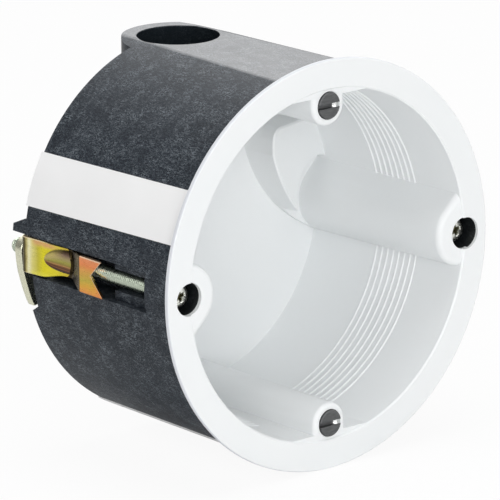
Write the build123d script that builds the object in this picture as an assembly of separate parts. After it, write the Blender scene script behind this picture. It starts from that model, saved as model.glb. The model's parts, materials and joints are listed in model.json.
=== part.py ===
from build123d import *
import math
import os

# Fire-protection device box for hollow walls.
# A white moulded liner with a flange sits in a black heat-swelling jacket. Two long screws
# pull a fishtail claw forward on each side, and a swing arm turns out behind the panel.
# Millimetres. X is to the right seen from the front, Y goes into the wall, Z is up.
# The origin is on the box axis in the plane of the wall face, at the back of the flange.

# Device screws, above and below the opening
device_screw_spacing = 60.0
device_screw_to_wall = 3.0
device_boss_radius = 3.8
device_boss_edge = 0.8
boss_foot_width = 18.0
boss_foot_thickness = 1.25
device_shank_radius = 1.6
device_head_radius = 2.5
device_head_height = 1.75
device_screw_length = 16.0
device_hole_extra = 1.0
head_recess = 0.05
head_gap = 0.13
slot_width = 0.9
slot_depth = 0.9

# Liner
liner_draft = 1.1
liner_wall = 1.4
inner_depth = 39.6
flange_overlap = 1.65
flange_thickness = 0.8
flange_edge_radius = 0.3
mouth_edge = 0.3
front_recess = 0.45
front_skin = 0.75
pillar_edge_radius = 1.2
pillar_draft = 1.0
pillar_root_extra = 0.3
pillar_flank_reach = 10.9
pillar_flank_angle = 94.6

# Grip rings on the inner wall
ring_count = 8
ring_pitch = 1.5
ring_width = 0.35
ring_height = 0.22
first_ring_depth = 11.4

# Jacket
jacket_wall = 2.5
jacket_floor = 2.4
jacket_draft = 0.5
jacket_rear_chamfer = 0.4
jacket_rebate = 0.2
jacket_seat_gap = 0.3
top_flat_cut = 1.25

# Claw screws, left and right of the opening
claw_screw_setback = 3.5
claw_shank_radius = 1.5
claw_head_overhang = 0.65
claw_head_height = 1.8
claw_head_edge = 0.6
claw_screw_overhang = 3.05
driver_hole_clearance = 0.9
driver_hole_depth = 3.9
core_wall = 2.35
cross_width = 0.75
cross_length = 2.9
cross_depth = 1.2
cross_turn = 20.0
seat_gap = 0.1
running_clearance = 0.08
self_tap_clearance = 0.05

# Claw, folded from one strip
claw_width = 6.8
claw_thickness = 1.0
claw_travel = 10.5
claw_leg_overhang = 0.7
claw_leg_edge = 1.4
claw_bend_radius = 1.2
claw_band_offset = 2.85
claw_neck_offset = 1.8
claw_tail_offset = 3.5
claw_tip_offset = 3.7
claw_neck_distance = 14.3
claw_tail_distance = 18.3
claw_tip_distance = 25.1
claw_rib_start_distance = 14.1
claw_rib_end_distance = 5.6
fishtail_notch = 3.4
neck_notch_depth = 1.2
neck_notch_length = 5.0

# Claw pocket in the jacket
claw_side_gap = 0.3
claw_tip_gap = 0.9
claw_under_gap = 0.4
ledge_gap = 1.0
ledge_depth = 2.0
screw_groove_clearance = 0.5
bulge_height = 0.25
bulge_half = 2.7

# Swing arm behind the claw
arm_thickness = 1.2
arm_gap = 0.15
arm_hub_wall = 1.22
arm_length = 10.7
arm_tip_width = 4.8
arm_tip_rise = 1.2
arm_lean = 0.5
arm_set_forward = 0.5
arm_set_start = 4.0

# Stop lug and arm notch on the jacket rear
lug_base = 2.8
lug_reach = 3.2
lug_tip = 1.4
lug_thickness = 3.2
notch_depth = 2.5
notch_length = 6.2
notch_slope = 2.0
notch_skin = 0.3

# Conduit socket at the top rear
conduit_radius = 7.8
conduit_stop = 0.8
socket_wall = 2.8
conduit_inset = 1.4
socket_end_height = 21.0
chute_end_height = 6.0
chute_rise = 10.0

# Raised pads in the floor, beside the claw pillars
pad_left = 14.0
pad_top = 17.0
pad_corner = 2.5
pad_side_height = 12.0
pad_arc_middle = (18.8, 2.6)
pad_front_arc_middle = (19.2, 2.7)
pad_arc_end = (32.0, -6.9)
pad_height = 8.4
pad_slope = 0.287
pad_edge = 0.35
pad_groove_radius = 6.7
pad_groove_middle = (28.2, 2.2)
pad_groove_margin = 1.0
pad_groove_floor = 1.2

# Plain white strips stuck on the jacket
strip_width = 10.3
strip_thickness = 0.2
strip_front = 0.7
strip_skew = 1.15
side_strip_angle = 157.0
base_strip_angle = 246.4

# Worked out for the liner and the jacket
far = 120.0
overcut = 1.0
device_screw_height = device_screw_spacing / 2
opening_radius = device_screw_height + device_screw_to_wall
floor_radius = opening_radius - liner_draft
boss_foot_height = opening_radius - boss_foot_thickness
liner_depth = inner_depth + liner_wall
jacket_depth = liner_depth + jacket_floor
jacket_front_radius = opening_radius + liner_wall + jacket_wall
flange_radius = jacket_front_radius + flange_overlap
top_flat_height = jacket_front_radius - top_flat_cut
moulding_front = front_recess - flange_thickness
conduit_depth = jacket_depth - conduit_inset
socket_outer_radius = conduit_radius + socket_wall
pad_front_depth = inner_depth - pad_height

# Worked out for the claws, their screws and the swing arms
claw_screw_offset = jacket_front_radius - claw_screw_setback
claw_bore_radius = claw_shank_radius + running_clearance
claw_head_radius = claw_shank_radius + claw_head_overhang
driver_hole_radius = claw_head_radius + driver_hole_clearance
core_radius = driver_hole_radius + core_wall
pillar_root_radius = core_radius + liner_wall + pillar_root_extra
core_front = moulding_front + front_skin
claw_leg_rear = jacket_depth + claw_leg_overhang
claw_leg_reach = claw_bore_radius + claw_leg_edge
claw_neck_depth = claw_leg_rear - claw_neck_distance
claw_tail_depth = claw_leg_rear - claw_tail_distance
claw_tip_depth = claw_leg_rear - claw_tip_distance
claw_rib_start = claw_leg_rear - claw_rib_start_distance
claw_rib_end = claw_leg_rear - claw_rib_end_distance
pocket_half = claw_width / 2 + claw_side_gap
pocket_front = claw_tip_depth - claw_travel - claw_tip_gap
ledge_end = claw_rib_start - claw_travel - ledge_gap
channel_reach = claw_leg_reach + claw_under_gap
arm_front = claw_leg_rear + arm_gap
arm_rear = arm_front + arm_thickness
arm_hub_radius = claw_bore_radius + arm_hub_wall
claw_screw_end = arm_rear + claw_screw_overhang


def slab(x_range, y_range, z_range):
    """Block between two corners."""
    size = [b - a for a, b in (x_range, y_range, z_range)]
    middle = [(a + b) / 2 for a, b in (x_range, y_range, z_range)]
    return Pos(*middle) * Box(*size)


def rod(radius, start, end, x=0.0, z=0.0):
    """Round bar along Y, from start to end."""
    return Pos(x, (start + end) / 2, z) * Rot(90, 0, 0) * Cylinder(radius, end - start)


def post(radius, bottom, top, y):
    """Round bar along Z."""
    return Pos(0, y, (bottom + top) / 2) * Cylinder(radius, top - bottom)


def turned(*edges):
    """Solid turned about the box axis from its half section, x as radius and y as depth."""
    return revolve(make_face([*edges]), Axis.Y, 360)


def turned_polygon(points):
    """Turned solid with straight sides only."""
    return turned(Polyline(*points, close=True))


def pressed(outline, start, end, draft=0.0):
    """Outline drawn in X and Z, made thick along Y from end forward to start, smaller by the draft."""
    return Pos(0, end, 0) * Rot(90, 0, 0) * extrude(outline, end - start, taper=draft)


def other_side(shape):
    """The same piece turned half round the box axis."""
    return Rot(0, 180, 0) * shape


def both_sides(shape):
    """A feature and its copy turned half round the box axis."""
    return shape + other_side(shape)


def inner_radius(depth):
    """Radius of the liner's inner wall at a depth."""
    return opening_radius - liner_draft * depth / inner_depth


def liner_shell():
    """Flange and closed cup, before anything is hollowed out."""
    cup = turned_polygon([
        (0, moulding_front),
        (opening_radius + liner_wall, moulding_front),
        (opening_radius + liner_wall, 0),
        (floor_radius + liner_wall, liner_depth),
        (0, liner_depth),
    ])
    rim = flange_radius - flange_edge_radius
    shoulder = flange_edge_radius * math.sqrt(0.5)
    arc_middle = (rim + shoulder, flange_edge_radius - flange_thickness - shoulder)
    flange = turned(
        Polyline((flange_radius, flange_edge_radius - flange_thickness), (flange_radius, 0), (0, 0)),
        Polyline((0, 0), (0, -flange_thickness), (rim, -flange_thickness)),
        ThreePointArc(
            (rim, -flange_thickness), arc_middle,
            (flange_radius, flange_edge_radius - flange_thickness)),
    )
    return cup + flange


def cup_space():
    """Room inside the cup, with the grip rings standing out of its wall."""
    space = turned_polygon([
        (0, -flange_thickness - overcut),
        (opening_radius + mouth_edge + overcut, -flange_thickness - overcut),
        (opening_radius, mouth_edge - flange_thickness),
        (opening_radius, 0),
        (floor_radius, inner_depth),
        (0, inner_depth),
    ])
    for number in range(ring_count):
        middle = first_ring_depth + number * ring_pitch
        radius = inner_radius(middle)
        ring = turned_polygon([
            (radius - ring_height, middle),
            (radius + ring_height, middle - ring_width),
            (radius + ring_height, middle + ring_width),
        ])
        space -= ring
    return space


def pillar():
    """Pillar over the left claw channel: round, with one flat flank to the wall and a soft front edge."""
    angle = math.radians(pillar_flank_angle)
    spread = math.acos(pillar_root_radius / pillar_flank_reach)
    corner = (pillar_flank_reach * math.cos(angle), -pillar_flank_reach * math.sin(angle))
    inner, outer = [
        (pillar_root_radius * math.cos(side), -pillar_root_radius * math.sin(side))
        for side in (angle - spread, angle + spread)]
    outline = Circle(pillar_root_radius) + make_face(Polyline((0, 0), inner, corner, outer, close=True))
    column = pressed(outline, moulding_front, inner_depth, pillar_draft)
    column = fillet(column.edges().group_by(Axis.Y)[0], pillar_edge_radius)
    return Pos(-claw_screw_offset, 0, 0) * column


def device_boss():
    """Rib with a soft front edge for the upper device screw, on a wider flat foot."""
    outline = Circle(device_boss_radius) + Pos(0, device_boss_radius) * Rectangle(
        2 * device_boss_radius, 2 * device_boss_radius)
    boss = Pos(0, 0, device_screw_height) * pressed(outline, moulding_front, inner_depth)
    boss = fillet(boss.edges().group_by(Axis.Y)[0], device_boss_edge)
    foot = slab(
        (-boss_foot_width / 2, boss_foot_width / 2),
        (moulding_front, inner_depth),
        (boss_foot_height, opening_radius))
    return boss + foot


def pad_outline(arc_middle, inset):
    """Outline of the right pad, with a hollow curve towards the floor's middle."""
    corner_middle = pad_corner * (1 - math.sqrt(0.5))
    outline = make_face([
        ThreePointArc(pad_arc_end, arc_middle, (pad_left, pad_side_height)),
        Line((pad_left, pad_side_height), (pad_left, pad_top - pad_corner)),
        ThreePointArc(
            (pad_left, pad_top - pad_corner),
            (pad_left + corner_middle, pad_top - corner_middle),
            (pad_left + pad_corner, pad_top)),
        Polyline(
            (pad_left + pad_corner, pad_top), (jacket_front_radius, pad_top),
            (jacket_front_radius, pad_arc_end[1]), pad_arc_end),
    ])
    if inset > 0:
        outline = offset(outline, -inset)
    return outline


def pad(inset=0.0):
    """Raised floor pad at the right, with a sloping front and a groove round the pillar."""
    front = pad_front_depth + inset
    root = Pos(0, liner_depth, 0) * Rot(90, 0, 0) * pad_outline(pad_arc_middle, inset)
    top = Pos(0, pad_front_depth - overcut, 0) * Rot(90, 0, 0) * pad_outline(pad_front_arc_middle, inset)
    end_depth = front + pad_slope * (jacket_front_radius - pad_left)
    wedge = extrude(make_face(Polyline(
        (pad_left, front), (jacket_front_radius, end_depth),
        (jacket_front_radius, liner_depth), (pad_left, liner_depth), close=True)), far / 2, both=True)
    block = loft([root, top], ruled=True) & wedge
    if inset == 0:
        front_face = min(block.faces(), key=lambda face: face.normal_at().Y)
        block = chamfer(front_face.edges(), pad_edge)
    groove_end = inner_depth - pad_groove_floor if inset == 0 else far
    groove = rod(pad_groove_radius + inset, 0, groove_end, *pad_groove_middle)
    groove += rod(pillar_root_radius + pad_groove_margin + inset, 0, groove_end, claw_screw_offset)
    return block - groove


def pad_core():
    """What fills the pad from behind: part of the jacket."""
    room = turned_polygon([
        (0, 0), (opening_radius - liner_wall, 0),
        (floor_radius - liner_wall, liner_depth), (0, liner_depth),
    ])
    return pad(liner_wall) & room


def conduit_space():
    """Conduit bore from the top to its stop, and a narrower chute that leads forward into the box."""
    bore = post(conduit_radius, socket_end_height, top_flat_height + overcut, conduit_depth)
    chute = post(conduit_radius - conduit_stop, chute_end_height, socket_end_height, conduit_depth)
    front = conduit_depth - conduit_radius
    ramp = extrude(make_face(Polyline(
        (0, 0), (2 * conduit_radius, chute_rise), (2 * conduit_radius, -overcut), (0, -overcut),
        close=True)), far / 2, both=True)
    ramp = Pos(0, front, chute_end_height) * Rot(0, 90, 0) * Rot(0, 0, 90) * ramp
    return bore + (chute - ramp)


def liner_socket():
    """Wall round the conduit bore, inside the cup."""
    return post(conduit_radius + liner_wall, socket_end_height, opening_radius, conduit_depth)


def claw_channel():
    """Driver hole, screw bore and claw pocket on the left, as one cutting shape."""
    axis = -claw_screw_offset
    hole = rod(driver_hole_radius, -far, driver_hole_depth, axis)
    bore = rod(claw_bore_radius, driver_hole_depth - overcut, pocket_front + overcut, axis)
    groove_radius = claw_shank_radius + screw_groove_clearance
    groove = rod(groove_radius, pocket_front, ledge_end + overcut, axis)
    ledge = slab(
        (-far, ledge_depth - jacket_front_radius), (pocket_front, far), (-pocket_half, pocket_half))
    channel = slab((-far, axis + channel_reach), (ledge_end, far), (-pocket_half, pocket_half))
    mouth = slab((-far, axis), (pocket_front, ledge_end), (-groove_radius, groove_radius))
    return hole + bore + groove + ledge + channel + mouth


def moulded_block():
    """The liner's whole moulding, before the jacket's cores and the screw holes are cut."""
    space = cup_space()
    space -= both_sides(pillar())
    space -= both_sides(device_boss())
    space -= both_sides(pad())
    space -= liner_socket()
    return liner_shell() - space


def make_liner():
    """White moulded cup with flange, pillars, screw bosses, floor pads and grip rings."""
    liner = moulded_block()
    core = rod(core_radius, core_front, liner_depth + overcut, -claw_screw_offset)
    liner -= both_sides(core)
    liner -= both_sides(pad_core())
    liner -= both_sides(rod(driver_hole_radius, -far, core_front, -claw_screw_offset))
    screw_hole = rod(
        device_shank_radius + self_tap_clearance, -far,
        device_screw_length + device_hole_extra, 0, device_screw_height)
    head_hole = rod(
        device_head_radius + head_gap, -far,
        device_head_height - flange_thickness + head_recess + head_gap, 0, device_screw_height)
    liner -= both_sides(screw_hole + head_hole)
    liner -= jacket_seat(jacket_seat_gap)
    return liner - conduit_space()


def jacket_cone(extra=0.0, start=0.0, end=jacket_depth):
    """Tapered outside of the jacket, made larger by extra, between two depths."""
    slope = jacket_draft / jacket_depth
    return turned_polygon([
        (0, start), (jacket_front_radius + extra - slope * start, start),
        (jacket_front_radius + extra - slope * end, end), (0, end),
    ])


def jacket_body():
    """Tapered body with its flat top and the chamfer at its rear edge."""
    body = jacket_cone()
    body = chamfer(body.edges().group_by(Axis.Y)[-1], jacket_rear_chamfer)
    return body - slab((-far, far), (-overcut, far), (top_flat_height, far))


def conduit_tower():
    """Outside of the conduit socket, down to its sloping lower end behind the box."""
    low = chute_end_height - socket_wall
    tower = post(socket_outer_radius, low, top_flat_height, conduit_depth)
    front = conduit_depth - conduit_radius
    cut = extrude(make_face(Polyline(
        (-far, -far * chute_rise / (2 * conduit_radius)), (far, far * chute_rise / (2 * conduit_radius)),
        (far, -far), (-far, -far), close=True)), far / 2, both=True)
    cut = Pos(0, front, low) * Rot(0, 90, 0) * Rot(0, 0, 90) * cut
    behind = slab((-far, far), (liner_depth, far), (-far, far))
    return (tower - cut) & behind & jacket_cone(0, 0, far)


def stop_lug():
    """Tooth behind the left pocket that stops the arm once it points outward."""
    top = pocket_half + lug_base
    outline = make_face(Polyline(
        (jacket_depth - overcut, pocket_half), (jacket_depth + lug_reach, pocket_half),
        (jacket_depth + lug_reach, pocket_half + lug_tip), (jacket_depth, top),
        (jacket_depth - overcut, top), close=True))
    tooth = Rot(0, 90, 0) * Rot(0, 0, 90) * extrude(outline, far / 2, both=True)
    ring = jacket_cone(0, 0, jacket_depth + lug_reach) - jacket_cone(
        -lug_thickness, 0, jacket_depth + lug_reach)
    left = slab((-far, 0), (0, far), (0, far))
    return tooth & ring & left


def arm_notch():
    """Cut in the jacket's rear rim behind the left swing arm."""
    outline = make_face(Polyline(
        (jacket_depth - notch_depth, overcut - pocket_half),
        (jacket_depth - notch_depth, -pocket_half - notch_length),
        (jacket_depth + overcut, -pocket_half - notch_length - notch_slope),
        (jacket_depth + overcut, overcut - pocket_half), close=True))
    cut = Rot(0, 90, 0) * Rot(0, 0, 90) * extrude(outline, far / 2, both=True)
    skin_radius = floor_radius + liner_wall + notch_skin
    rim = jacket_cone(overcut, 0, jacket_depth + overcut) - rod(skin_radius, 0, far)
    left = slab((-far, 0), (0, far), (-far, 0))
    return cut & rim & left


def claw_bulge(end):
    """Slightly raised wall from the jacket's front edge back to the left pocket."""
    ring = jacket_cone(bulge_height, -jacket_rebate, end) - jacket_cone(-overcut, -jacket_rebate, end)
    return ring & slab((-far, 0), (-far, far), (-bulge_half, bulge_half))


def jacket_seat(gap=0.0):
    """What sits in the shallow step in the back of the flange; with a gap, the step itself."""
    ring = jacket_cone(gap, -jacket_rebate, 0) - rod(opening_radius + liner_wall, -far, far)
    return ring - slab((-far, far), (-far, far), (top_flat_height + gap, far))


def make_jacket():
    """Black jacket round the liner, with the claw channels and the conduit socket."""
    cup = liner_shell() & slab((-far, far), (0, far), (-far, far))
    jacket = jacket_body() - cup
    jacket += jacket_seat()
    core = rod(core_radius, core_front, jacket_depth, -claw_screw_offset)
    jacket += both_sides(core & jacket_cone())
    jacket += both_sides(pad_core())
    jacket += conduit_tower()
    jacket += both_sides(stop_lug())
    jacket += both_sides(claw_bulge(pocket_front))
    jacket -= both_sides(claw_channel())
    jacket -= both_sides(arm_notch())
    return jacket - conduit_space()


def make_strip(angle, skew):
    """Thin strip along the jacket, centred at an angle round it."""
    film = jacket_cone(strip_thickness, strip_front, jacket_depth)
    film -= jacket_cone(0, strip_front - overcut, jacket_depth + overcut)
    blade = slab((0, far), (-far, far), (-strip_width / 2, strip_width / 2))
    tilt = Pos(0, jacket_depth / 2, 0) * Rot(skew, 0, 0) * Pos(0, -jacket_depth / 2, 0)
    return film & (Rot(0, -angle, 0) * tilt * blade)


def make_device_screw():
    """Upper device screw: slotted cheese head and plain shank."""
    front = -flange_thickness + head_recess
    under_head = front + device_head_height
    head = rod(device_head_radius, front, under_head, 0, device_screw_height)
    head = chamfer(head.edges().group_by(Axis.Y)[0], head_gap)
    shank = rod(device_shank_radius, under_head, device_screw_length, 0, device_screw_height)
    slot = slab((-far, far), (front - overcut, front + slot_depth), (
        device_screw_height - slot_width / 2, device_screw_height + slot_width / 2))
    return head + shank - slot


def make_claw_screw():
    """Left claw screw: round head with a cross recess, long shank to behind the swing arm."""
    axis = -claw_screw_offset
    under_head = driver_hole_depth - seat_gap
    front = under_head - claw_head_height
    head = rod(claw_head_radius, front, under_head, axis)
    head = fillet(head.edges().group_by(Axis.Y)[0], claw_head_edge)
    shank = rod(claw_shank_radius, under_head, claw_screw_end, axis)
    screw = head + shank
    half_length = cross_length / 2
    half_width = cross_width / 2
    for turn in (0, 90):
        blade = slab(
            (-half_length, half_length), (front - overcut, front + cross_depth),
            (-half_width, half_width))
        screw -= Pos(axis, 0, 0) * Rot(0, turn + cross_turn, 0) * blade
    return screw


def make_claw():
    """Left claw: rear leg on the screw, long band with a rib, and a fishtail in front."""
    axis = -claw_screw_offset
    leg_middle = claw_leg_rear - claw_thickness / 2
    path = FilletPolyline(
        (axis + claw_leg_reach, leg_middle),
        (axis - claw_band_offset, leg_middle),
        (axis - claw_neck_offset, claw_neck_depth),
        (axis - claw_tail_offset, claw_tail_depth),
        (axis - claw_tip_offset, claw_tip_depth),
        radius=claw_bend_radius)
    claw = extrude(trace(path, claw_thickness), claw_width / 2, both=True)
    rib = rod(claw_bore_radius + claw_thickness, claw_rib_start, claw_rib_end, axis)
    claw += rib & slab((-far, axis - claw_thickness), (0, far), (-far, far))
    claw -= rod(claw_bore_radius, 0, far, axis)
    half = claw_width / 2
    fishtail = Rot(0, 90, 0) * Rot(0, 0, 90) * extrude(make_face(Polyline(
        (claw_tip_depth - overcut, half), (claw_tip_depth, half),
        (claw_tip_depth + fishtail_notch, 0),
        (claw_tip_depth, -half), (claw_tip_depth - overcut, -half), close=True)), far / 2, both=True)
    neck = Rot(0, 90, 0) * Rot(0, 0, 90) * extrude(make_face(Polyline(
        (claw_tail_depth, -half), (claw_neck_depth, neck_notch_depth - half),
        (claw_neck_depth + neck_notch_length, -half), close=True)), far / 2, both=True)
    return claw - fishtail - neck


def make_swing_arm():
    """Left swing arm: flat hub on the screw and a lever that leans forward to its tip."""
    outline = Circle(arm_hub_radius) + make_face(Polyline(
        (-arm_hub_radius, 0), (arm_lean, -arm_length),
        (arm_lean + arm_tip_width, arm_tip_rise - arm_length), (arm_hub_radius, 0), close=True))
    lever = Pos(-claw_screw_offset, 0, 0) * pressed(outline, arm_front - overcut, arm_rear)
    side = Rot(0, 90, 0) * Rot(0, 0, 90) * extrude(make_face(Polyline(
        (arm_front, arm_length), (arm_front, -arm_set_start),
        (arm_front - arm_set_forward, -arm_length), (arm_rear - arm_set_forward, -arm_length),
        (arm_rear, -arm_set_start), (arm_rear, arm_length), close=True)), far / 2, both=True)
    return (lever & side) - rod(claw_bore_radius, 0, far, -claw_screw_offset)


pieces = {
    "liner": make_liner(),
    "jacket": make_jacket(),
    "strip_side": make_strip(side_strip_angle, strip_skew),
    "strip_base": make_strip(base_strip_angle, 0),
    "device_screw_top": make_device_screw(),
    "claw_screw_left": make_claw_screw(),
    "claw_left": make_claw(),
    "swing_arm_left": make_swing_arm(),
}
pieces["device_screw_bottom"] = other_side(pieces["device_screw_top"])
for name in ("claw_screw", "claw", "swing_arm"):
    pieces[name + "_right"] = other_side(pieces[name + "_left"])

os.makedirs("parts", exist_ok=True)
for node, shape in pieces.items():
    export_step(shape, "parts/" + node + ".step")
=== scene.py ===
import bpy
import bmesh
import json
import math
from mathutils import Matrix, Vector


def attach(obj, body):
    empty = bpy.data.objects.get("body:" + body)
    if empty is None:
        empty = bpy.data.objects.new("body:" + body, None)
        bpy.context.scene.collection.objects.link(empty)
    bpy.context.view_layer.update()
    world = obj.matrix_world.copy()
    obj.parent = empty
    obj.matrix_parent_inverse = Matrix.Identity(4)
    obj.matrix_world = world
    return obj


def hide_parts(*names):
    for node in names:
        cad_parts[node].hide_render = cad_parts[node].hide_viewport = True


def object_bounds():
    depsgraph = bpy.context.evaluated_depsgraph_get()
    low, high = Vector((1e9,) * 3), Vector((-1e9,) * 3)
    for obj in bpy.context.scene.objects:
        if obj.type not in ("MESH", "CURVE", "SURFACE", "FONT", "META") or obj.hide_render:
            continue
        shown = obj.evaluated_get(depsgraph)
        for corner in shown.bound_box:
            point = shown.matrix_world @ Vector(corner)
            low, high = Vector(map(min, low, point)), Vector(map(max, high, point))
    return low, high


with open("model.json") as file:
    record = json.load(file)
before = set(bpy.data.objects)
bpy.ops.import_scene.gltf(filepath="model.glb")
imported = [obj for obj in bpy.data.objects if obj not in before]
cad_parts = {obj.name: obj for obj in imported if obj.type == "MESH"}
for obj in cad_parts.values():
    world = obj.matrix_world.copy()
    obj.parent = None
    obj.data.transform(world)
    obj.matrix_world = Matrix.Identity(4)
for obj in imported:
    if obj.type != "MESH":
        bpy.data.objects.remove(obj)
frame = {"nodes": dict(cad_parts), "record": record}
cad_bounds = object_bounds()
nodes = frame["nodes"]
MM = 0.001

# Lengths in mm that materials and pieces share. Y is the depth behind the wall face.
SCREW_AXIS = 33.4
DEVICE_SCREW_HEIGHT = 30.0
FLANGE_THICKNESS, FLANGE_RADIUS = 0.8, 38.55
SOCKET_DEPTH, SOCKET_RADIUS, SOCKET_BOTTOM = 42.0, 7.8, 20.0
TOP_FLAT, BODY_BOTTOM = 35.5, -36.0
HEAD_FRONT, HEAD_REAR, HEAD_RADIUS = 2.0, 3.8, 2.15
SHANK_FRONT, SHANK_END = 3.9, 49.0
ARM_FRONT, ARM_REAR, ARM_SET, ARM_BORE = 44.25, 46.15, 0.5, 1.58
CLAW_TIP, TAIL_BEND, NECK_REAR, CLAW_REAR = 19.0, 25.8, 29.8, 43.6
CLAW_HALF, CLAW_THICK = 3.4, 0.5
SCOOP_DEPTH, SCOOP_REACH = 30.6, 6.7
SCOOP_HALF, SCOOP_HEIGHT, SCOOP_DROP = 2.25, 0.73, 0.53
ARCH_DEPTH, ARCH_BEND = 28.95, 0.22


class Tree:
    """Node material of one finish. A signal is a node and the name or number of its output."""

    def __init__(self, name):
        self.material = bpy.data.materials.new(name)
        self.material.use_nodes = True
        self.nodes = self.material.node_tree.nodes
        self.links = self.material.node_tree.links
        self.nodes.clear()
        self.out = self.nodes.new("ShaderNodeOutputMaterial")
        self.shader = self.nodes.new("ShaderNodeBsdfPrincipled")
        self.feed((self.shader, "BSDF"), self.out, "Surface")
        self.coord = self.nodes.new("ShaderNodeTexCoord")

    def feed(self, value, node, socket):
        """Link a signal to an input, or set the input to a number or a colour."""
        if isinstance(value, tuple) and isinstance(value[0], bpy.types.Node):
            self.links.new(value[0].outputs[value[1]], node.inputs[socket])
        elif isinstance(value, tuple):
            node.inputs[socket].default_value = (*value, 1)
        else:
            node.inputs[socket].default_value = value

    def place(self):
        """X, Y and Z of the point on the piece, in metres."""
        node = self.nodes.new("ShaderNodeSeparateXYZ")
        self.feed((self.coord, "Object"), node, "Vector")
        return (node, "X"), (node, "Y"), (node, "Z")

    def noise(self, per_mm, detail=3.0, rough=0.55, stretch=(1, 1, 1), distortion=0.0):
        """Noise with about per_mm features a millimetre."""
        mapping = self.nodes.new("ShaderNodeMapping")
        mapping.inputs["Scale"].default_value = stretch
        self.feed((self.coord, "Object"), mapping, "Vector")
        node = self.nodes.new("ShaderNodeTexNoise")
        self.feed((mapping, "Vector"), node, "Vector")
        self.feed(per_mm / MM, node, "Scale")
        self.feed(detail, node, "Detail")
        self.feed(rough, node, "Roughness")
        self.feed(distortion, node, "Distortion")
        return node, "Fac"

    def ramp(self, source, stops):
        """Colour ramp with stops as (place, colour or grey)."""
        node = self.nodes.new("ShaderNodeValToRGB")
        elements = node.color_ramp.elements
        while len(elements) < len(stops):
            elements.new(0.5)
        for element, (place, colour) in zip(elements, stops):
            element.position = place
            if not isinstance(colour, tuple):
                colour = (colour, colour, colour)
            element.color = (*colour, 1)
        self.feed(source, node, "Fac")
        return node, "Color"

    def mix(self, factor, a, b, blend="MIX"):
        """Mix two colours; each of the three is a signal or a constant."""
        node = self.nodes.new("ShaderNodeMix")
        node.data_type = "RGBA"
        node.blend_type = blend
        for socket, value in ((0, factor), (6, a), (7, b)):
            self.feed(value, node, socket)
        return node, "Result"

    def maths(self, operation, a, b=0.0, c=0.0):
        node = self.nodes.new("ShaderNodeMath")
        node.operation = operation
        for socket, value in enumerate((a, b, c)):
            self.feed(value, node, socket)
        return node, 0

    def times(self, a, b):
        return self.maths("MULTIPLY", a, b)

    def minus(self, a, b):
        return self.maths("SUBTRACT", a, b)

    def absolute(self, a):
        return self.maths("ABSOLUTE", a)

    def distance(self, a, b):
        """Distance from the line where both signals are 0."""
        square = self.maths("MULTIPLY_ADD", a, a, self.times(b, b))
        return self.maths("SQRT", square)

    def step(self, value, start_mm, end_mm):
        """Smooth change from 0 at one length to 1 at another."""
        node = self.nodes.new("ShaderNodeMapRange")
        node.interpolation_type = "SMOOTHSTEP"
        self.feed(value, node, "Value")
        self.feed(start_mm * MM, node, "From Min")
        self.feed(end_mm * MM, node, "From Max")
        return node, 0

    def near_claw_screw(self, x, z, inner_mm, outer_mm):
        """1 near the axis of a claw screw, 0 beyond the outer distance."""
        aside = self.minus(self.absolute(x), SCREW_AXIS * MM)
        return self.step(self.distance(aside, z), outer_mm, inner_mm)

    def bump(self, source, height_mm, strength, under=None):
        node = self.nodes.new("ShaderNodeBump")
        self.feed(strength, node, "Strength")
        self.feed(height_mm * MM, node, "Distance")
        self.feed(source, node, "Height")
        if under is not None:
            self.feed(under, node, "Normal")
        return node, "Normal"

    def finish(self, colour, rough, normal, **fixed):
        """Feed the shader, set its fixed values and return the material."""
        self.feed(colour, self.shader, "Base Color")
        self.feed(rough, self.shader, "Roughness")
        self.feed(normal, self.shader, "Normal")
        for socket, value in fixed.items():
            self.feed(value, self.shader, socket)
        return self.material


def white_moulding():
    """Satin white, slightly uneven, with painted shade greying the narrow edge of the flange."""
    tree = Tree("white_moulding")
    x, _, z = tree.place()
    broad = tree.noise(0.03, detail=2.0)
    fine = tree.noise(1.4, detail=4.0)
    colour = tree.ramp(broad, [(0.3, (0.850, 0.872, 0.880)), (0.7, (0.872, 0.888, 0.893))])
    # Painted shade: the flange's narrow outer edge is tinted grey.
    edge = tree.step(tree.distance(x, z), FLANGE_RADIUS - 0.2, FLANGE_RADIUS - 0.05)
    rough = tree.ramp(fine, [(0.3, 0.36), (0.7, 0.46)])
    waves = tree.bump(broad, 0.25, 0.3)
    return tree.finish(
        tree.mix(edge, colour, (0.72, 0.74, 0.78)), rough, tree.bump(fine, 0.012, 0.5, waves),
        IOR=1.5)


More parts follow.
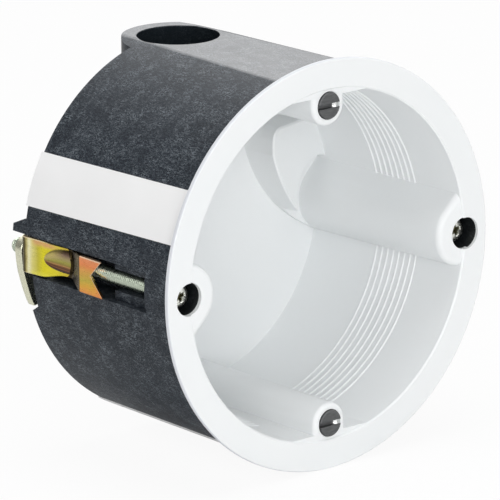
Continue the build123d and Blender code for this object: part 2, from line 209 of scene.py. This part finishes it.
def black_jacket():
    """Dark slate with dust and light flecks, shinier on the flat top, with painted shade inside
    its holes.
    """
    tree = Tree("black_jacket")
    x, y, z = tree.place()
    cloud = tree.noise(0.10)
    base = tree.ramp(cloud, [(0.30, (0.0105, 0.0135, 0.0195)), (0.70, (0.0180, 0.0220, 0.0300))])
    grain = tree.noise(5.0, detail=2.0, rough=0.7, stretch=(1, 0.6, 1))
    dust = tree.ramp(grain, [(0.46, 0.0), (0.78, 0.62)])
    dusted = tree.mix(dust, base, (0.056, 0.074, 0.090))
    curls = tree.noise(2.6, detail=2.0, rough=0.5, distortion=1.0, stretch=(1, 0.38, 1))
    line = tree.ramp(
        tree.absolute(tree.minus(curls, 0.5)), [(0.0, 1.0), (0.022, 0.65), (0.055, 0.0)])
    patch = tree.ramp(tree.noise(0.30, detail=5.0, rough=0.75), [(0.40, 0.15), (0.64, 0.85)])
    fleck = tree.mix(1.0, line, patch, "MULTIPLY")
    flecked = tree.mix(fleck, dusted, (0.215, 0.245, 0.272))

    # Painted shade: the jacket is darker, and has no shine, inside the socket's bore.
    from_socket = tree.distance(x, tree.minus(y, SOCKET_DEPTH * MM))
    within = tree.step(from_socket, SOCKET_RADIUS + 0.2, SOCKET_RADIUS - 0.05)
    above = tree.step(z, SOCKET_BOTTOM - 0.5, SOCKET_BOTTOM + 0.5)
    below = tree.step(z, TOP_FLAT + 0.05, TOP_FLAT - 0.1)
    socket = tree.times(tree.times(within, above), below)
    dark = tree.mix(tree.times(socket, 0.92), flecked, (0.0085, 0.0120, 0.0150))
    # Painted shade: darker still inside the driver holes, down to the screw heads.
    hole = tree.near_claw_screw(x, z, 3.2, 3.4)
    front = tree.step(y, HEAD_REAR + 0.8, HEAD_REAR + 0.6)
    driver_hole_shade = tree.times(tree.times(hole, front), 0.85)
    holes_shaded = tree.mix(driver_hole_shade, dark, (0.006, 0.007, 0.007))

    flat = tree.step(z, TOP_FLAT - 0.05, TOP_FLAT + 0.1)
    strokes = tree.noise(0.55, detail=5.0, rough=0.7, stretch=(1, 0.35, 1))
    shine = tree.times(flat, tree.ramp(strokes, [(0.36, 0.66), (0.62, 1.0)]))
    upward = tree.step(z, BODY_BOTTOM, 12.0)
    plain = tree.maths("MULTIPLY_ADD", upward, 0.07, 0.035)
    level = tree.maths("MULTIPLY_ADD", shine, 0.90, plain)
    outside = tree.minus(1.0, socket)
    tree.feed(tree.times(level, outside), tree.shader, "Specular IOR Level")

    rough = tree.ramp(grain, [(0.35, 0.33), (0.70, 0.46)])
    waves = tree.bump(cloud, 0.20, 0.4)
    return tree.finish(holes_shaded, rough, tree.bump(grain, 0.035, 0.7, waves), IOR=1.6)


def white_film():
    """Matte white film with faint creases."""
    tree = Tree("white_film")
    fibre = tree.noise(3.0)
    cloud = tree.noise(0.08, detail=2.0)
    colour = tree.ramp(cloud, [(0.3, 0.90), (0.7, 0.925)])
    rough = tree.ramp(fibre, [(0.3, 0.42), (0.7, 0.55)])
    creases = tree.bump(cloud, 0.12, 0.4)
    return tree.finish(colour, rough, tree.bump(fibre, 0.006, 0.5, creases))


def dark_steel():
    """Brushed dark steel, with a painted reflection making one end of the slot's bottom bright."""
    tree = Tree("dark_steel")
    x, y, z = tree.place()
    grain = tree.noise(9.0, detail=4.0)
    brushed = tree.noise(2.6, stretch=(0.25, 1, 1))
    colour = tree.ramp(brushed, [(0.35, (0.090, 0.093, 0.095)), (0.65, (0.125, 0.128, 0.130))])
    # Painted reflection: a pale, glossy patch at one end of the slot's bottom.
    off_axis = tree.absolute(tree.minus(tree.absolute(z), DEVICE_SCREW_HEIGHT * MM))
    near = tree.step(off_axis, 0.50, 0.47)
    deep = tree.step(y, -0.55, -0.45)
    right = tree.step(x, 1.20, 1.35)
    slot = tree.times(near, tree.times(deep, right))
    rough = tree.ramp(grain, [(0.3, 0.38), (0.7, 0.55)])
    return tree.finish(
        tree.mix(slot, colour, (0.92, 0.93, 0.92)), tree.mix(slot, rough, (0.18, 0.18, 0.18)),
        tree.bump(grain, 0.008, 0.6), Metallic=0.85)


def zinc_steel():
    """Greenish zinc on the thread, bright on the head, cream on the swing arm, with painted shade
    in the head's cross recess.
    """
    tree = Tree("zinc_steel")
    x, y, z = tree.place()
    grain = tree.noise(2.5, detail=4.0)
    thread = tree.ramp(grain, [(0.3, (0.42, 0.47, 0.38)), (0.7, (0.54, 0.60, 0.49))])
    bright = tree.ramp(grain, [(0.3, (0.88, 0.90, 0.82)), (0.7, (0.97, 0.98, 0.92))])
    cream = tree.ramp(grain, [(0.3, (0.66, 0.66, 0.50)), (0.7, (0.80, 0.79, 0.62))])
    on_head = tree.step(y, HEAD_REAR + 1.2, HEAD_REAR + 0.6)
    screw = tree.mix(on_head, thread, bright)
    # Painted shade: dark colour inside the cross recess of the head.
    recess_shade_core = tree.near_claw_screw(x, z, 1.15, 1.35)
    sunk = tree.times(
        tree.step(y, HEAD_FRONT + 0.2, HEAD_FRONT + 0.5),
        tree.step(y, HEAD_FRONT + 1.4, HEAD_FRONT + 1.2))
    screw = tree.mix(tree.times(recess_shade_core, sunk), screw, (0.26, 0.25, 0.18))
    on_arm = tree.times(
        tree.step(y, ARM_FRONT - ARM_SET - 0.45, ARM_FRONT - ARM_SET - 0.25),
        tree.step(y, ARM_REAR + 0.25, ARM_REAR + 0.05))
    rough = tree.ramp(grain, [(0.3, 0.22), (0.7, 0.36)])
    return tree.finish(
        tree.mix(on_arm, screw, cream), rough, tree.bump(grain, 0.004, 0.4), Metallic=1.0)


def yellow_zinc():
    """Chromate colours of the claw by place, with painted highlights, reflections and shade:
    sheet, scoop, neck and fishtail.
    """
    tree = Tree("yellow_zinc")
    _, y, z = tree.place()
    depth, height = tree.times(y, 1 / MM), tree.times(z, 1 / MM)
    cloud = tree.noise(0.35, distortion=0.5)
    wander = tree.maths("MULTIPLY_ADD", cloud, 1.6, -0.8)
    streak = tree.noise(2.4, stretch=(1, 0.2, 1))

    # The sheet, from 30 mm deep to past its rear bend: chromate colours, with a painted highlight
    # before the bend, painted shade on the bend, a painted highlight near its lower edge and
    # painted highlights on its top and bottom edges
    wavy_depth = tree.maths("MULTIPLY_ADD", wander, 0.4, depth)
    along = tree.maths("DIVIDE", tree.minus(wavy_depth, 30.0), 14.5)
    # Painted highlight at 0.79 and painted shade from 0.865 on, where the sheet bends back.
    body = tree.ramp(along, [
        (0.0, (0.66, 0.48, 0.06)), (0.25, (0.82, 0.70, 0.05)), (0.52, (0.84, 0.74, 0.035)),
        (0.62, (0.66, 0.58, 0.07)), (0.72, (0.82, 0.74, 0.26)), (0.79, (0.98, 0.93, 0.60)),
        (0.83, (0.60, 0.52, 0.22)), (0.865, (0.10, 0.08, 0.025)), (1.0, (0.045, 0.035, 0.012))])
    wavy_height = tree.maths("MULTIPLY_ADD", wander, 0.55, height)
    rim = tree.ramp(tree.maths("DIVIDE", wavy_height, CLAW_HALF), [
        (0.58, 0.0), (0.80, 0.8), (0.93, 0.9), (0.96, 0.35)])
    span = tree.ramp(along, [(0.20, 0.15), (0.42, 1.0), (0.66, 0.9), (0.76, 0.0)])
    blush = tree.mix(1.0, rim, span, "MULTIPLY")
    sheet = tree.mix(blush, body, (0.82, 0.42, 0.22))
    # Painted highlight: bright yellow near the lower edge, in front of the bend.
    low = tree.ramp(tree.maths("DIVIDE", tree.maths("ADD", height, 4.0), 2.4), [
        (0.25, 0.8), (0.75, 0.0)])
    before_bend = tree.ramp(along, [(0.70, 1.0), (0.80, 0.0)])
    glow = tree.mix(1.0, low, before_bend, "MULTIPLY")
    sheet = tree.mix(glow, sheet, (0.96, 0.90, 0.12))
    # Painted highlight: a pale line along the top and bottom edges of the sheet.
    lip_highlight = tree.maths("GREATER_THAN", tree.absolute(height), CLAW_HALF - 0.13)
    sheet = tree.mix(tree.times(lip_highlight, 0.75), sheet, (0.95, 0.78, 0.52))

    # The scoop: painted reflection and painted shade of a bump, dark below and pale above, by the
    # share of its width from the lower edge
    t = tree.maths("DIVIDE", tree.minus(depth, SCOOP_DEPTH), SCOOP_REACH)
    t2 = tree.maths("MINIMUM", tree.times(t, t), 0.999)
    half = tree.times(tree.maths("SQRT", tree.minus(1.0, t2)), SCOOP_HALF)
    middle = tree.maths("MULTIPLY_ADD", t2, -SCOOP_DROP, SCOOP_HEIGHT)
    across = tree.maths("DIVIDE", tree.minus(height, middle), half)
    share = tree.maths("MULTIPLY_ADD", across, 0.5, 0.5)
    scoop = tree.ramp(share, [
        (0.0, (0.62, 0.52, 0.07)), (0.03, (0.060, 0.028, 0.014)), (0.14, (0.085, 0.036, 0.018)),
        (0.17, (0.30, 0.12, 0.05)), (0.21, (0.10, 0.045, 0.022)), (0.29, (0.22, 0.10, 0.04)),
        (0.33, (0.50, 0.27, 0.10)), (0.38, (0.30, 0.22, 0.06)), (0.50, (0.40, 0.37, 0.08)),
        (0.64, (0.44, 0.36, 0.16)), (0.80, (0.36, 0.24, 0.17)), (0.92, (0.20, 0.12, 0.07)),
        (0.975, (0.05, 0.035, 0.015)), (1.0, (0.50, 0.42, 0.08))])
    toward_tip = tree.ramp(t, [(0.15, 0.0), (0.65, 0.85)])
    upper_side = tree.ramp(share, [(0.45, 0.0), (0.80, 1.0)])
    fade = tree.mix(1.0, toward_tip, upper_side, "MULTIPLY")
    scoop = tree.mix(fade, scoop, (0.70, 0.58, 0.18))
    in_width = tree.maths("LESS_THAN", tree.absolute(across), 1.0)
    in_length = tree.maths("LESS_THAN", depth, SCOOP_DEPTH + SCOOP_REACH - 0.05)
    painted = tree.mix(tree.times(in_width, in_length), sheet, scoop)

    # The neck, in front of the arch that ends the scoop: olive-brown chromate, darkened by painted
    # shade where the surface turns
    away = tree.minus(height, SCOOP_HEIGHT)
    arch = tree.maths("MULTIPLY_ADD", tree.times(away, away), ARCH_BEND, ARCH_DEPTH)
    past_arch = tree.minus(depth, arch)
    neck = tree.ramp(tree.maths("MULTIPLY_ADD", past_arch, 0.25, 0.75), [
        (0.0, (0.10, 0.072, 0.032)), (0.30, (0.052, 0.040, 0.018)), (0.60, (0.085, 0.062, 0.030)),
        (0.72, (0.045, 0.032, 0.014)), (0.89, (0.040, 0.028, 0.012))])
    painted = tree.mix(tree.maths("LESS_THAN", past_arch, 0.55), painted, neck)

    # The fishtail, with a painted highlight as a pale line along its notch and its top
    tail_place = tree.maths("DIVIDE", tree.maths("MULTIPLY_ADD", wander, 1.1, height), 7.0)
    tail = tree.ramp(tree.maths("ADD", tail_place, 0.5), [
        (0.04, (0.86, 0.34, 0.10)), (0.20, (0.80, 0.44, 0.07)), (0.40, (0.60, 0.47, 0.08)),
        (0.60, (0.76, 0.40, 0.10)), (0.76, (0.88, 0.30, 0.11)), (0.97, (0.88, 0.33, 0.15))])
    to_tip = tree.step(y, CLAW_TIP + 3.5, CLAW_TIP + 0.5)
    tail = tree.mix(tree.times(to_tip, 0.6), tail, (0.90, 0.30, 0.10))
    # Painted highlight: pale line along the notch and the top of the fishtail.
    from_apex = tree.absolute(tree.minus(height, 0.30))
    notch = tree.maths("MULTIPLY_ADD", from_apex, -1.0, CLAW_TIP + CLAW_HALF)
    by_notch = tree.maths("LESS_THAN", tree.minus(depth, notch), 0.17)
    by_top = tree.maths("GREATER_THAN", height, CLAW_HALF - 0.2)
    edge = tree.maths("MAXIMUM", by_notch, by_top)
    tail = tree.mix(tree.times(edge, 0.8), tail, (0.88, 0.66, 0.46))
    painted = tree.mix(tree.maths("LESS_THAN", depth, TAIL_BEND - 0.15), painted, tail)

    shade = tree.ramp(streak, [(0.30, 0.86), (0.65, 1.0)])
    rough = tree.ramp(streak, [(0.3, 0.24), (0.7, 0.34)])
    return tree.finish(
        tree.mix(1.0, painted, shade, "MULTIPLY"), rough, tree.bump(streak, 0.010, 0.4),
        Metallic=1.0)


finishes = {
    "white_moulding": white_moulding(),
    "black_jacket": black_jacket(),
    "white_film": white_film(),
    "dark_steel": dark_steel(),
    "zinc_steel": zinc_steel(),
    "yellow_zinc": yellow_zinc(),
}
slot_of = {entry["node"]: entry["material_slot"] for entry in frame["record"]["subparts"]}
for name, node in nodes.items():
    node.data.materials.clear()
    node.data.materials.append(finishes[slot_of[name]])


HALF_TURN = Matrix.Rotation(math.pi, 4, "Y")
SHARP_ANGLE = math.radians(38)


def solid(name, vertices, faces, slot):
    """Mesh object from points in mm."""
    mesh = bpy.data.meshes.new(name)
    mesh.from_pydata([tuple(c * MM for c in v) for v in vertices], [], faces)
    work = bmesh.new()
    work.from_mesh(mesh)
    bmesh.ops.remove_doubles(work, verts=work.verts, dist=1e-7)
    bmesh.ops.dissolve_degenerate(work, dist=1e-7, edges=work.edges)
    bmesh.ops.recalc_face_normals(work, faces=work.faces)
    work.to_mesh(mesh)
    work.free()
    for face in mesh.polygons:
        face.use_smooth = True
    mesh.set_sharp_from_angle(angle=SHARP_ANGLE)
    mesh.materials.append(finishes[slot])
    thing = bpy.data.objects.new(name, mesh)
    bpy.context.scene.collection.objects.link(thing)
    return thing


def both(name, vertices, faces, slot, node, body):
    """The left piece and its copy turned half round the box axis, in place of their CAD nodes."""
    left = solid(name + "_left_seen", vertices, faces, slot)
    right = left.copy()
    right.name = name + "_right_seen"
    bpy.context.scene.collection.objects.link(right)
    right.matrix_world = HALF_TURN
    for thing, side in ((left, "_left"), (right, "_right")):
        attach(thing, body + side)
        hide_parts(node + side)


def rings_to_faces(rings, base=0):
    """Quads between neighbouring closed rings of equal length."""
    count = len(rings[0])
    faces = []
    for i in range(len(rings) - 1):
        for j in range(count):
            k = (j + 1) % count
            faces.append((
                base + i * count + j, base + i * count + k,
                base + (i + 1) * count + k, base + (i + 1) * count + j))
    return faces


def claw_screw_mesh():
    """Pan head with a cross recess, and a shank with a real helical thread."""
    around, per_pitch, pitch = 24, 6, 0.5
    crest, root = 1.49, 1.27
    profile = [
        (crest + root) / 2 + (crest - root) / 2 * math.cos(2 * math.pi * k / per_pitch)
        for k in range(per_pitch)]
    steps = int((SHANK_END - SHANK_FRONT) / pitch * per_pitch) + per_pitch
    vertices, faces = [], []

    def thread_point(step, slot):
        depth = SHANK_FRONT - pitch + step * pitch / per_pitch + pitch * slot / around
        radius = profile[step % per_pitch]
        if depth < SHANK_FRONT + 0.6:
            radius = min(radius, crest - 0.25 + 0.25 * max(0, depth - SHANK_FRONT) / 0.6)
        if depth > SHANK_END - 0.5:
            radius = min(radius, crest - 0.5 * (depth - SHANK_END + 0.5))
        depth = min(max(depth, SHANK_FRONT), SHANK_END)
        turn = 2 * math.pi * slot / around
        return (-SCREW_AXIS + radius * math.cos(turn), depth, radius * math.sin(turn))

    for step in range(steps + per_pitch):
        for slot in range(around):
            vertices.append(thread_point(step, slot))
    for step in range(steps - 1):
        for slot in range(around):
            if slot < around - 1:
                a, b = step * around + slot, step * around + slot + 1
            else:
                a, b = step * around + slot, (step + per_pitch) * around
            faces.append((a, b, b + around, a + around))
    cap, cap_radius = len(vertices), 1.24
    vertices.append((-SCREW_AXIS, SHANK_END, 0))
    for slot in range(around):
        turn = 2 * math.pi * slot / around
        vertices.append((
            -SCREW_AXIS + cap_radius * math.cos(turn), SHANK_END, cap_radius * math.sin(turn)))
    for slot in range(around):
        faces.append((cap, cap + 1 + slot, cap + 1 + (slot + 1) % around))

    # The head: a flat disc, a rounded shoulder and the underside, with four wings sunk in it
    spokes, first, disc, shoulder, edge = 120, math.radians(20), 1.56, 0.55, 0.06
    disc_radii = [0.0, 0.25, 0.4, 0.55, 0.7, 0.85, 1.0, 1.12, 1.24, 1.36, 1.46, disc]
    outline = [(radius, HEAD_FRONT + 0.10 * (radius / disc) ** 2) for radius in disc_radii]
    for degrees in (15, 30, 45, 60, 75, 90):
        bend = math.radians(degrees)
        outline.append((
            HEAD_RADIUS - shoulder * (1 - math.sin(bend)),
            HEAD_FRONT + 0.12 + shoulder * (1 - math.cos(bend))))
    outline += [(HEAD_RADIUS, HEAD_REAR - edge), (HEAD_RADIUS - edge, HEAD_REAR), (1.2, HEAD_REAR)]
    wing_half, wing_slope, wing_length, wing_run, wing_depth = 0.38, 0.12, 1.14, 0.30, 0.95
    base = len(vertices)
    rings = []
    for radius, depth in outline:
        ring = []
        for spoke in range(spokes):
            turn = 2 * math.pi * spoke / spokes + first
            local = (turn - first) % (math.pi / 2)
            local = min(local, math.pi / 2 - local)
            across, along = radius * math.sin(local), radius * math.cos(local)
            deep = 0.0
            if depth < HEAD_FRONT + 0.6:
                wide = max(0.0, min(1.0, (wing_half - across) / wing_slope))
                long = max(0.0, min(1.0, (wing_length - along) / wing_run))
                deep = wing_depth * wide * long
            ring.append((
                -SCREW_AXIS + radius * math.cos(turn), depth + deep, radius * math.sin(turn)))
        rings.append(ring)
        vertices.extend(ring)
    faces += rings_to_faces(rings, base)
    return vertices, faces


def claw_path():
    """The claw's middle line as (outward, depth), from the leg to the tip, with rounded bends."""
    corners = [(1.55, CLAW_REAR), (2.85, CLAW_REAR), (1.8, NECK_REAR), (3.5, TAIL_BEND),
               (3.7, CLAW_TIP)]
    radii, steps_bend, run = (None, 1.2, 1.6, 1.2, None), 10, 0.22
    line = [corners[0]]
    for k in (1, 2, 3):
        a, b, c = Vector(corners[k - 1]), Vector(corners[k]), Vector(corners[k + 1])
        u, v = (a - b).normalized(), (c - b).normalized()
        half = math.acos(max(-1, min(1, u.dot(v)))) / 2
        reach = min(radii[k] / math.tan(half), 0.95 * (a - b).length, 0.45 * (c - b).length)
        for i in range(steps_bend + 1):
            t = i / steps_bend
            start, end = b + u * reach, b + v * reach
            line.append(tuple((1 - t) ** 2 * start + 2 * t * (1 - t) * b + t ** 2 * end))
    line.append(corners[-1])
    dense = []
    for (ax, ay), (bx, by) in zip(line, line[1:]):
        count = max(1, int(math.hypot(bx - ax, by - ay) / run))
        for i in range(count):
            t = i / count
            dense.append((ax + t * (bx - ax), ay + t * (by - ay)))
    dense.append(line[-1])
    return dense


def low_edge(depth):
    """Height of the claw's lower edge, which is raised at the neck and level further back."""
    rise, rear, run = 1.25, 38.5, 7.0
    if TAIL_BEND <= depth <= NECK_REAR:
        return -CLAW_HALF + rise * (depth - TAIL_BEND) / (NECK_REAR - TAIL_BEND)
    if NECK_REAR < depth < rear:
        part = min(1.0, (rear - depth) / run)
        return -CLAW_HALF + rise * part * part * (3 - 2 * part)
    return -CLAW_HALF


def leg_rings():
    """The claw's leg: a plate with a round hole for the screw."""
    spokes, inner, outer, front, rear, far = 72, 1.7, 2.98, 43.12, 44.08, 99
    rings = []
    for radial, depth in ((0.0, front), (0.0, rear), (1.0, rear), (1.0, front), (0.0, front)):
        ring = []
        for spoke in range(spokes):
            turn = 2 * math.pi * spoke / spokes
            cx, cz = math.cos(turn), math.sin(turn)
            side = inner / cx if cx > 1e-9 else (-outer / cx if cx < -1e-9 else far)
            reach = min(side, CLAW_HALF / abs(cz) if abs(cz) > 1e-9 else far)
            radius = ARM_BORE + (reach - ARM_BORE) * radial
            ring.append((-SCREW_AXIS - radius * cx, depth, radius * cz))
        rings.append(ring)
    return rings


def claw_mesh():
    """Folded strip with a pressed scoop over the screw, a narrow neck and a fishtail."""
    across, bevel, notch_shift = 44, 1.0, 0.08
    tail, tail_out, tail_lean = TAIL_BEND - 1.0, 3.5, 0.2
    scoop_out, soft_share, soft_depth = 2.96, 0.045, 0.16
    path = claw_path()
    count = len(path)
    normals = []
    for i in range(count):
        a, b = path[max(0, i - 1)], path[min(count - 1, i + 1)]
        dx, dy = b[0] - a[0], b[1] - a[1]
        length = math.hypot(dx, dy)
        normals.append((-dy / length, dx / length))
    vertices, faces = [], []
    for layer in (1, -1):
        for (out, depth), normal in zip(path, normals):
            low = low_edge(depth)
            for j in range(across + 1):
                share = 2 * j / across - 1
                z = (CLAW_HALF + low) / 2 + share * (CLAW_HALF - low) / 2
                y, o = depth, out
                if depth < tail:
                    back = CLAW_HALF * (1 - min(1.0, abs(share - notch_shift)))
                    back += bevel if layer < 0 else 0.0
                    y = depth + back * (tail - depth) / (tail - CLAW_TIP)
                    o = tail_out + (TAIL_BEND - y) / (TAIL_BEND - CLAW_TIP) * tail_lean
                soft = max(0.0, abs(share) - 1 + soft_share) / soft_share
                thick = CLAW_THICK - soft_depth * soft
                o += layer * thick * normal[0]
                y += layer * thick * normal[1]
                if layer > 0 and 28.5 < depth < SCOOP_DEPTH + SCOOP_REACH:
                    t2 = min(0.999, ((depth - SCOOP_DEPTH) / SCOOP_REACH) ** 2)
                    w = (z - SCOOP_HEIGHT + SCOOP_DROP * t2) / (SCOOP_HALF * math.sqrt(1 - t2))
                    past_arch = depth - ARCH_DEPTH - ARCH_BEND * (z - SCOOP_HEIGHT) ** 2
                    front = min(1.0, max(0.0, past_arch / 0.35))
                    if abs(w) < 1:
                        o += max(0.0, scoop_out - o) * math.sqrt(1 - w * w) * front
                if layer < 0 and abs(z) < ARM_BORE + 0.05 and 26.0 < depth < 42.5:
                    o = max(o, math.sqrt(max(0.0, (ARM_BORE + 0.06) ** 2 - z * z)))
                vertices.append((-SCREW_AXIS - o, y, z))
    width = across + 1
    second = count * width
    for i in range(count - 1):
        for j in range(across):
            a = i * width + j
            b = a + second
            faces.append((a, a + 1, a + 1 + width, a + width))
            faces.append((b, b + width, b + 1 + width, b + 1))
        for j in (0, across):
            a, b = i * width + j, (i + 1) * width + j
            faces.append((a, b, b + second, a + second))
    for i in (0, count - 1):
        for j in range(across):
            a = i * width + j
            faces.append((a, a + 1, a + 1 + second, a + second))
    rings = leg_rings()
    faces += rings_to_faces(rings, len(vertices))
    for ring in rings:
        vertices.extend(ring)
    return vertices, faces


def swing_arm_mesh():
    """Flat hub with a lever whose outer edge is slightly bowed and whose end is set forward."""
    hub, spokes, edge = 2.8, 288, 0.15
    bend, length = -4.0, 6.7
    outline = [(-hub, 0.0), (-2.62, -2.0), (-2.28, -4.0), (-1.80, -6.0), (-1.25, -8.0),
               (-0.60, -9.9), (-0.2, -10.7), (5.3, -9.5), (hub, 0.0)]

    def outer(turn):
        dx, dz = math.cos(turn), math.sin(turn)
        best = hub
        for (ax, az), (bx, bz) in zip(outline, outline[1:]):
            ex, ez = bx - ax, bz - az
            cross = dx * ez - dz * ex
            if abs(cross) < 1e-9:
                continue
            reach = (ax * ez - az * ex) / cross
            part = (ax * dz - az * dx) / cross
            if reach > 0 and -1e-6 <= part <= 1 + 1e-6:
                best = max(best, reach)
        return best

    turns = [2 * math.pi * k / spokes for k in range(spokes)]
    reaches = [outer(turn) for turn in turns]
    bores = [ARM_BORE] * spokes
    shoulders = [reach - edge for reach in reaches]
    middles = [ARM_BORE + (reach - ARM_BORE) * 0.5 for reach in shoulders]
    levels = [
        (bores, ARM_FRONT), (middles, ARM_FRONT), (shoulders, ARM_FRONT),
        (reaches, ARM_FRONT + edge), (reaches, ARM_REAR - edge),
        (shoulders, ARM_REAR), (middles, ARM_REAR), (bores, ARM_REAR), (bores, ARM_FRONT)]
    rings, vertices = [], []
    for radii, depth in levels:
        ring = []
        for turn, radius in zip(turns, radii):
            x, z = radius * math.cos(turn), radius * math.sin(turn)
            forward = ARM_SET * min(1.0, max(0.0, (bend - z) / length))
            ring.append((-SCREW_AXIS + x, depth - forward, z))
        rings.append(ring)
        vertices.extend(ring)
    return vertices, rings_to_faces(rings)


both("claw_screw", *claw_screw_mesh(), "zinc_steel", "claw_screw", "screw")
both("claw", *claw_mesh(), "yellow_zinc", "claw", "claw")
both("swing_arm", *swing_arm_mesh(), "zinc_steel", "swing_arm", "arm")


# The camera stands where the photograph's did; the focal length and shifts fit its 500 pixels.
AZIMUTH, ELEVATION, ROLL = math.radians(-40.412), math.radians(15.585), math.radians(-0.42)
DISTANCE, FOCAL_PX, SHIFT_X, SHIFT_Y = 1015.72, 5582.1, 14.696, 2.909
FRAME_PX, SENSOR_MM = 500, 36.0

back = Vector((
    math.sin(AZIMUTH) * math.cos(ELEVATION),
    -math.cos(AZIMUTH) * math.cos(ELEVATION),
    math.sin(ELEVATION)))
right = (-back).cross(Vector((0, 0, 1))).normalized()
up = right.cross(-back)
right_rolled = math.cos(ROLL) * right + math.sin(ROLL) * up
up_rolled = -math.sin(ROLL) * right + math.cos(ROLL) * up
place = -(SHIFT_X * right_rolled - SHIFT_Y * up_rolled - DISTANCE * back)
place.y -= FLANGE_THICKNESS
camera = bpy.data.objects.new("camera", bpy.data.cameras.new("camera"))
bpy.context.scene.collection.objects.link(camera)
camera.matrix_world = Matrix((
    (right_rolled.x, up_rolled.x, back.x, place.x * MM),
    (right_rolled.y, up_rolled.y, back.y, place.y * MM),
    (right_rolled.z, up_rolled.z, back.z, place.z * MM),
    (0, 0, 0, 1)))
camera.data.sensor_width = SENSOR_MM
camera.data.lens = FOCAL_PX * SENSOR_MM / FRAME_PX
camera.data.clip_start, camera.data.clip_end = 0.01, 50
bpy.context.scene.camera = camera


def lamp(name, where, size, watts):
    """Soft round lamp that points at the middle of the box."""
    data = bpy.data.lights.new(name, "AREA")
    data.shape = "DISK"
    data.size = size
    data.energy = watts
    thing = bpy.data.objects.new(name, data)
    bpy.context.scene.collection.objects.link(thing)
    thing.location = where
    aim = Vector((0, 0.02, 0)) - Vector(where)
    thing.rotation_euler = aim.to_track_quat("-Z", "Y").to_euler()


lamp("front", (-0.60, -1.05, 0.25), 0.9, 7.5)
lamp("top", (-0.05, 0.0, 0.98), 0.7, 4.0)


def world_light(ambient, brightest):
    """White to the camera, brighter on one side to gloss, and even light for the rest."""
    world = bpy.data.worlds.new("world")
    bpy.context.scene.world = world
    world.use_nodes = True
    made, links = world.node_tree.nodes, world.node_tree.links
    made.clear()
    out = made.new("ShaderNodeOutputWorld")
    background = made.new("ShaderNodeBackground")
    rays = made.new("ShaderNodeLightPath")
    direction = made.new("ShaderNodeTexCoord")
    along = made.new("ShaderNodeVectorMath")
    along.operation = "DOT_PRODUCT"
    along.inputs[1].default_value = Vector(brightest).normalized()
    bright = made.new("ShaderNodeMapRange")
    bright.interpolation_type = "SMOOTHSTEP"
    for name, value in (
            ("From Min", -0.25), ("From Max", 0.50), ("To Min", 0.30), ("To Max", 1.90)):
        bright.inputs[name].default_value = value
    links.new(direction.outputs["Generated"], along.inputs[0])
    links.new(along.outputs["Value"], bright.inputs["Value"])
    glossy = made.new("ShaderNodeMix")
    glossy.inputs[2].default_value = ambient
    links.new(rays.outputs["Is Glossy Ray"], glossy.inputs[0])
    links.new(bright.outputs[0], glossy.inputs[3])
    seen = made.new("ShaderNodeMath")
    seen.operation = "MAXIMUM"
    links.new(rays.outputs["Is Camera Ray"], seen.inputs[0])
    links.new(rays.outputs["Is Transmission Ray"], seen.inputs[1])
    strength = made.new("ShaderNodeMix")
    strength.inputs[3].default_value = 1.0
    links.new(seen.outputs[0], strength.inputs[0])
    links.new(glossy.outputs[0], strength.inputs[2])
    links.new(strength.outputs[0], background.inputs["Strength"])
    background.inputs["Color"].default_value = (1, 1, 1, 1)
    links.new(background.outputs[0], out.inputs["Surface"])


world_light(ambient=0.46, brightest=(0.80, -0.10, 0.50))


def floor_material():
    """Pale floor that keeps the shadow and is near white to the camera."""
    tree = Tree("floor")
    tree.feed(0.8, tree.shader, "Roughness")
    cloud = tree.noise(0.01, detail=2.0)
    tree.feed(tree.ramp(cloud, [(0.3, 0.90), (0.7, 0.92)]), tree.shader, "Base Color")
    glow = tree.nodes.new("ShaderNodeEmission")
    rays = tree.nodes.new("ShaderNodeLightPath")
    mixer = tree.nodes.new("ShaderNodeMixShader")
    for socket, value in enumerate((
            tree.times((rays, "Is Camera Ray"), 0.93), (tree.shader, "BSDF"), (glow, "Emission"))):
        tree.feed(value, mixer, socket)
    tree.feed((mixer, 0), tree.out, "Surface")
    return tree.material


floor_height = cad_bounds[0][2] - 0.02 * MM
bpy.ops.mesh.primitive_plane_add(size=12, location=(0, 0, floor_height))
floor = bpy.context.object
floor.name = "floor"
floor.data.materials.append(floor_material())

bpy.context.scene.view_settings.view_transform = "Standard"
